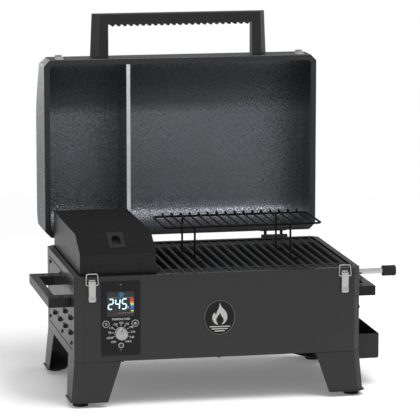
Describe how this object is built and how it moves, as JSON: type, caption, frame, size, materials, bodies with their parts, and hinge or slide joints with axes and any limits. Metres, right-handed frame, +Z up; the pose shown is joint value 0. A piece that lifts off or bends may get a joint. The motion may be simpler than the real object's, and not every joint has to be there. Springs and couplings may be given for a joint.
{
  "type": "portable pellet smoker grill",
  "caption": "Portable wood-pellet smoker grill with an opening lid, side pellet hopper, digital control panel, draw latches, carrying handles and folded sheet legs.",
  "frame": {"origin": "centre of the flat pad in the middle of the housing's underside", "axes": "+X to the grill's right-hand side, +Y to the back, +Z up; the lid stands open"},
  "size_m": [0.7379, 0.5264, 0.739],
  "materials": {
    "powder_coat": "charcoal powder coat, fine texture",
    "satin_black": "satin black powder coat",
    "hammertone": "blue-grey hammered paint",
    "panel_black": "matt black printed overlay",
    "stainless": "bright brushed stainless",
    "steel": "plain steel",
    "aluminised": "aluminised sheet",
    "enamel": "black enamel",
    "rubber": "matt",
    "plastic": "moulded, light grain",
    "trim": "pale grey strip",
    "display": "dark clear window"
  },
  "bodies": {
    "cabinet": {"housing": "powder_coat", "vent_panel": "powder_coat", "leg_front_left": "powder_coat", "leg_front_right": "powder_coat", "leg_rear_left": "powder_coat", "leg_rear_right": "powder_coat", "foot_front_left": "rubber", "foot_front_right": "rubber", "foot_rear_left": "rubber", "foot_rear_right": "rubber", "divider_wall": "aluminised", "auger_tube": "aluminised", "hopper_bin": "satin_black", "side_handle_left": "satin_black", "side_handle_right": "satin_black", "hinge_body_leaf_left": "satin_black", "hinge_body_leaf_right": "satin_black", "latch_base_left": "stainless", "latch_base_right": "stainless", "probe_jack": "stainless", "badge_plate": "stainless", "chamber_probe": "stainless", "hinge_pin_left": "steel", "hinge_pin_right": "steel", "hopper_hinge_pin": "steel", "hopper_guard": "steel", "auger_motor": "steel", "fire_pot": "steel", "igniter_rod": "steel", "broiler_base": "steel", "control_panel": "panel_black", "display_window": "display", "power_inlet": "plastic", "controller_box": "plastic", "fan_housing": "plastic"},
    "lid": {"lid_shell": "hammertone", "lid_divider": "hammertone", "divider_trim": "trim", "lid_handle": "satin_black", "strike_left": "stainless", "strike_right": "stainless", "hinge_lid_leaf_left": "satin_black", "hinge_lid_leaf_right": "satin_black"},
    "hopper_cover": {"hopper_lid": "satin_black", "hopper_pull": "plastic"},
    "left_lever": {"latch_lever_left": "stainless"},
    "left_bail": {"latch_bail_left": "stainless"},
    "right_lever": {"latch_lever_right": "stainless"},
    "right_bail": {"latch_bail_right": "stainless"},
    "dial": {"temperature_knob": "stainless"},
    "left_button": {"button_left": "plastic"},
    "right_button": {"button_right": "plastic"},
    "auger": {"auger_screw": "steel"},
    "fan": {"fan_impeller": "plastic"},
    "broiler_control": {"broiler_slider": "steel", "broiler_rod": "stainless", "broiler_knob": "plastic"},
    "grate": {"main_grate": "enamel"},
    "rack": {"upper_rack": "enamel"},
    "tray": {"grease_tray": "powder_coat"}
  },
  "joints": [
    {"name": "lid_hinge", "type": "hinge", "parent": "cabinet", "child": "lid", "pos_m": [0, 0.1995, 0.17], "axis": [-1, 0, 0], "range_deg": [-90, 0]},
    {"name": "hopper_lid_hinge", "type": "hinge", "parent": "cabinet", "child": "hopper_cover", "pos_m": [-0.1995, 0.1015, 0.2451], "axis": [-1, 0, 0], "range_deg": [0, 100]},
    {"name": "left_latch", "type": "hinge", "parent": "cabinet", "child": "left_lever", "pos_m": [-0.256, -0.1915, 0.1615], "axis": [-1, 0, 0], "range_deg": [0, 105]},
    {"name": "left_bail_swing", "type": "hinge", "parent": "left_lever", "child": "left_bail", "pos_m": [-0.256, -0.1917, 0.1557], "axis": [-1, 0, 0], "range_deg": [-126, 0]},
    {"name": "right_latch", "type": "hinge", "parent": "cabinet", "child": "right_lever", "pos_m": [0.256, -0.1915, 0.1615], "axis": [-1, 0, 0], "range_deg": [0, 105]},
    {"name": "right_bail_swing", "type": "hinge", "parent": "right_lever", "child": "right_bail", "pos_m": [0.256, -0.1917, 0.1557], "axis": [-1, 0, 0], "range_deg": [-126, 0]},
    {"name": "dial_turn", "type": "hinge", "parent": "cabinet", "child": "dial", "pos_m": [-0.1986, -0.2, 0.057], "axis": [0, -1, 0], "range_deg": [-135, 135]},
    {"name": "left_button_press", "type": "slide", "parent": "cabinet", "child": "left_button", "axis": [0, 1, 0], "range_m": [0, 0.001]},
    {"name": "right_button_press", "type": "slide", "parent": "cabinet", "child": "right_button", "axis": [0, 1, 0], "range_m": [0, 0.001]},
    {"name": "auger_turn", "type": "hinge", "parent": "cabinet", "child": "auger", "pos_m": [-0.1, 0, 0.045], "axis": [1, 0, 0], "continuous": true},
    {"name": "fan_turn", "type": "hinge", "parent": "cabinet", "child": "fan", "pos_m": [-0.133, 0.095, 0.045], "axis": [1, 0, 0], "continuous": true},
    {"name": "broiler_pull", "type": "slide", "parent": "cabinet", "child": "broiler_control", "axis": [1, 0, 0], "range_m": [0, 0.08]},
    {"name": "grate_lift", "type": "slide", "parent": "cabinet", "child": "grate", "axis": [0, 0, 1], "range_m": [0, 0.12]},
    {"name": "rack_lift", "type": "slide", "parent": "grate", "child": "rack", "axis": [0, 0, 1], "range_m": [0, 0.1]},
    {"name": "tray_lift", "type": "slide", "parent": "cabinet", "child": "tray", "axis": [0, 0, 1], "range_m": [0, 0.012]}
  ],
  "couplings": [
    {"joint": "left_bail_swing", "follows": "left_latch", "ratio": -1.2},
    {"joint": "right_bail_swing", "follows": "right_latch", "ratio": -1.2}
  ]
}
